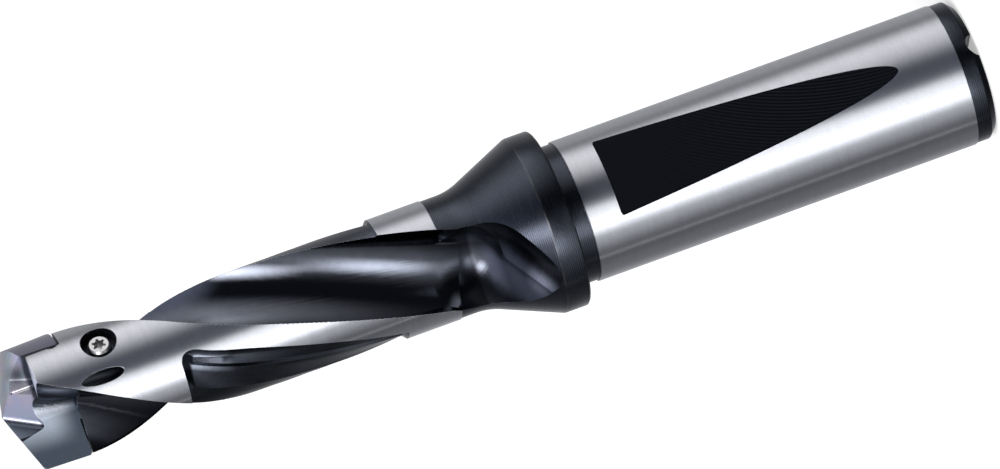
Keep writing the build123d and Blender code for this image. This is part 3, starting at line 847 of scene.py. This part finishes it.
def recessBlack(book):      # black oxide with painted shade over the recess's front part, and a painted reflection on the floor beside the margin's wall at its very front
    spot = book.place()
    x, y, z = spot
    mottle = book.cells(spot, 2, 1.2, 3.0)
    tone = book.mix(mottle, oxide["plain"], oxide["pale"])
    rear = 360 / flute["rearLead"]
    change = flute["changeLength"]
    start = flute["changeMiddle"] - change / 2
    bend = ramp(z, start, start + change)
    turn = y.maths("ARCTAN2", x) * (180 / math.pi) - (z - start) * rear
    turn = turn - bend * bend * ((360 / flute["frontLead"] - rear) * change / 2)
    beside = ramp(turn.maths("WRAP", 180.0, 0.0), *recessLook["floorTurn"])
    # painted reflection on the floor at the front, and painted shade over the rest of the front
    # part
    pale = ramp(z, *recessLook["pale"])
    dark = ramp(z, *recessLook["dark"]) * (1 - beside)
    dark = (dark + beside * (1 - pale) * ramp(z, *recessLook["floorShade"])).clamped()
    tone = book.mix(dark * 0.75, tone, oxide["paintedShade"])
    return {"Base Color": book.mix(beside * pale, tone, recessLook["floor"]),
            "Roughness": recessLook["rough"] + mottle * 0.12,
            "Normal": book.bump(mottle, recessLook["relief"], recessLook["edge"])}


flatLook = {"low": (0.02, 0.024, 0.034, 1.0), "high": (0.046, 0.051, 0.064, 1.0), "pitch": 0.39,
            "middle": (37.0, 7.5), "fade": (38.0, 24.0), "rough": 0.13, "relief": 0.0035,
            "edge": 0.05}


def flatBlack(book):    # its milling arcs are rings about a far point in the flat's plane
    spot = book.place()
    x, y, z = spot
    mottle = book.cells(spot, 2, 2, 3.0)
    sideways = radialFrame(flat["angle"], 0).col[0]
    across = x * sideways[0] + y * sideways[1]
    far = distance(across - flatLook["middle"][0], z - flatLook["middle"][1])
    clear = ramp(z, *flatLook["fade"]) * 0.5 + 0.08
    mark = (far * (2 * math.pi / flatLook["pitch"])).maths("SINE") * clear + 0.5
    share = (mark * 0.7 + mottle * 0.3).clamped()
    return {"Base Color": book.mix(share, flatLook["low"], flatLook["high"]),
            "Roughness": flatLook["rough"] + mottle * 0.06,
            "Normal": book.bump(mark + mottle * 0.6, flatLook["relief"], flatLook["edge"])}


boreLook = {"tone": (0.05, 0.055, 0.065, 1.0), "rough": 0.35, "edge": 0.05}


def boreBlack(book):
    mottle = book.cells(book.place(), 3, 3)
    return {"Base Color": book.mix(mottle, boreLook["tone"], oxide["plain"]),
            "Roughness": boreLook["rough"] + mottle * 0.1,
            "Normal": book.softEdge(boreLook["edge"])}


# The slot's walls get a dark tone that is painted shade in the gap between tip and jaws.
slotLook = {"low": (0.09, 0.093, 0.105, 1.0), "high": (0.15, 0.153, 0.165, 1.0), "rough": 0.3,
            "edge": 0.05}


def slotSteel(book):
    fine = book.cells(book.place(), 3, 0.4, 3.0)
    return {"Base Color": book.mix(fine, slotLook["low"], slotLook["high"]),
            "Roughness": slotLook["rough"] + fine * 0.1,
            "Normal": book.softEdge(slotLook["edge"])}


# patch is the colour of a painted reflection near the run-out's lower end; the first two height
# pairs say where painted shade falls
runoutLook = {"rings": 4.5, "bowlShade": (57.6, 56.2), "rim": (58.75, 59.15), "side": (-4.5, -3.0),
              "patch": (0.2, 0.21, 0.235, 1.0), "reflectionPlace": (5.6, 5.8, 52.9),
              "reflectionReach": 2.6, "rough": 0.11, "relief": 0.014, "edge": 0.1}


def runoutBlack(book):      # with the cutter's fine rings about its leaning axis, painted shade in its bowl and at its rim, and a painted reflection near its lower end
    spot = book.place()
    x, y, z = spot
    place = runoutFrame(runout["radius"], runout["turn"], runout["z"], 0)
    middle, axis = place.col[3], place.col[2]
    side = (x * middle[0] + y * middle[1]).maths("SIGN")    # the two run-outs look the same
    x, y = x * side, y * side
    high = (x - middle[0]) * axis[0] + (y - middle[1]) * axis[1] + (z - middle[2]) * axis[2]
    mottle = book.cells(spot, 1.2, 1.2, 3.0)
    rings = book.noise(book.vector(high * runoutLook["rings"], mottle * 0.6, 0.0), 3.0, 0.6)
    tone = book.mix((mottle * 0.6 + rings * 0.4).clamped(), oxide["plain"], oxide["pale"])
    # painted shade in the bowl and at the rim, on one side only
    paintedShade = ramp(z, *runoutLook["bowlShade"]) + ramp(z, *runoutLook["rim"])
    tone = book.mix(paintedShade * ramp(x, *runoutLook["side"]) * 0.78, tone, oxide["paintedShade"])
    # painted reflection: a paler patch near the run-out's lower end
    away = distance(*(value - at for value, at in zip((x, y, z), runoutLook["reflectionPlace"])))
    patch = hump(away, 0, runoutLook["reflectionReach"]) * (0.6 + rings * 0.5)
    return {"Base Color": book.mix(patch, tone, runoutLook["patch"]),
            "Roughness": runoutLook["rough"] + mottle * 0.1 + rings * 0.1,
            "Normal": book.bump(rings + mottle * 0.4, runoutLook["relief"], runoutLook["edge"])}


plainMetal = {"Metallic": 1.0}
finishes = [
    makeFinish("groundSteel", stretched(groundLook["stretch"]), groundSteel),
    makeFinish("turnedBlack", stretched(turnedLook["stretch"]), turnedBlack),
    makeFinish("fluteBlack", plainMetal, fluteBlack),
    makeFinish("recessBlack", plainMetal, recessBlack),
    makeFinish("flatBlack", plainMetal, flatBlack),
    makeFinish("boreBlack", plainMetal, boreBlack),
    makeFinish("slotSteel", plainMetal, slotSteel),
    makeFinish("runoutBlack", plainMetal, runoutBlack),
]
ground, turned, fluted, recessed, flatted, bored, slotted, hollowed = range(len(finishes))
print("steel finishes ready")

drillBody = makeBody()
smoothSkin(drillBody, body["smoothAngle"])
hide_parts("drill_body")
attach(drillBody, "root")
print("drill body:", len(drillBody.data.polygons), "faces")


# Cutting tip: coated carbide with a faint play of colour, a painted highlight in the gullet of each
# wing, and painted shade on the face's outer part, on the wings' sides towards the middle, in the
# gaps under the wings, on the relief below the jaws' top and in the gash's hollow. A pair is the
# radii, heights or tilts between which one tone takes over from another, and the hollow's pair is
# its place.
# The palest face colour is a painted highlight, and the darkest colours are painted shade.
tip = {"tone": (0.42, 0.43, 0.50, 1.0), "paintedShade": (0.092, 0.112, 0.145, 1.0),
       "pale": (0.62, 0.68, 0.77, 1.0), "core": (0.42, 0.43, 0.49, 1.0),
       "wing": (0.25, 0.25, 0.33, 1.0), "gap": (0.014, 0.015, 0.019, 1.0),
       "shade": (0.05, 0.056, 0.07, 1.0), "gulletAcross": (5.6, 2.3), "gulletUp": (104.9, 108.4),
       "coreAcross": (2.4, 1.5), "coreUp": (104.6, 107.6), "wingAcross": (3.5, 5.5),
       "flankAngle": 13.8, "flankAcross": (2.6, 2.625), "faceTilt": (-0.06, -0.1433),
       "reliefTilt": (0.1, 0.3), "reliefShadeDown": (109.35, 108.85), "hollow": (3.9, 109.9),
       "hollowReach": 1.5, "rough": 0.22, "relief": 0.003, "edge": 0.04, "film": [
           (0.0, (0.38, 0.45, 0.56, 1.0)), (0.3, (0.50, 0.45, 0.62, 1.0)),
           (0.45, (0.62, 0.48, 0.58, 1.0)), (0.55, (0.64, 0.60, 0.46, 1.0)),
           (0.68, (0.44, 0.60, 0.54, 1.0)), (1.0, (0.34, 0.42, 0.58, 1.0))]}


def coatedCarbide(book):
    spot = book.place()
    x, y, z = spot
    cloud = book.cells(spot, 0.3, 0.3)
    film = book.add("ShaderNodeValToRGB", {"stops": tip["film"]}, {0: cloud * 2.4 - 0.7})
    normal = book.add("ShaderNodeNewGeometry", out="True Normal")
    tilt = book.add("ShaderNodeSeparateXYZ", {}, {0: normal}, "Z")
    radial = distance(x, y)
    # painted highlight in the gullet, fading to painted shade outwards and downwards
    gullet = rising(radial, *tip["gulletAcross"]) * rising(z, *tip["gulletUp"])
    core = rising(radial, *tip["coreAcross"]) * rising(z, *tip["coreUp"])
    face = book.mix(core, book.mix(gullet, tip["paintedShade"], tip["pale"]), tip["core"])
    tinted = book.add("ShaderNodeVectorMath", {"operation": "MULTIPLY"}, {
        0: face, 1: book.mix(0.5, film, grey(3.0))})
    face = book.mix(0.25, face, tinted)
    turn = math.radians(tip["flankAngle"])
    # painted shade in the gaps under the wings, and on the wings' sides towards the middle
    flank = ramp(abs(x * math.sin(turn) + y * math.cos(turn)), *tip["flankAcross"])
    side = book.mix(rising(radial, *tip["wingAcross"]), tip["paintedShade"], tip["wing"])
    tone = book.mix(ramp(tilt, *tip["faceTilt"]), book.mix(flank, side, tip["gap"]), face)
    out, up = tip["hollow"]
    # painted shade in the gash's hollow and on the relief below the jaws' top
    hollow = hump(distance(x * (0 - y).maths("SIGN") - out, z - up), 0, tip["hollowReach"])
    dark = (rising(z, *tip["reliefShadeDown"]) + hollow * 0.85).clamped()
    relief = book.mix(dark, book.mix(0.68, film, tip["tone"]), tip["shade"])
    grain = book.cells(spot, 6, 6)
    return {"Base Color": book.mix(ramp(tilt, *tip["reliefTilt"]), tone, relief),
            "Roughness": tip["rough"] + grain * 0.06,
            "Normal": book.bump(grain, tip["relief"], tip["edge"])}


# Clamp screw
screw = {"tone": (0.40, 0.40, 0.41, 1.0), "pale": (0.52, 0.52, 0.53, 1.0), "rough": 0.26,
         "edge": 0.04}


def screwSteel(book):
    grain = book.cells(book.place(), 4, 4)
    return {"Base Color": book.mix(grain, screw["tone"], screw["pale"]),
            "Roughness": screw["rough"] + grain * 0.08,
            "Normal": book.softEdge(screw["edge"])}


def coverNode(name, finish):
    node = frame["nodes"][name]
    node.data.materials.clear()
    node.data.materials.append(finish)


coverNode("cutting_tip", makeFinish("coatedCarbide", plainMetal, coatedCarbide))
coverNode("clamp_screw", makeFinish("screwSteel", plainMetal, screwSteel))
print("tip and screw covered")
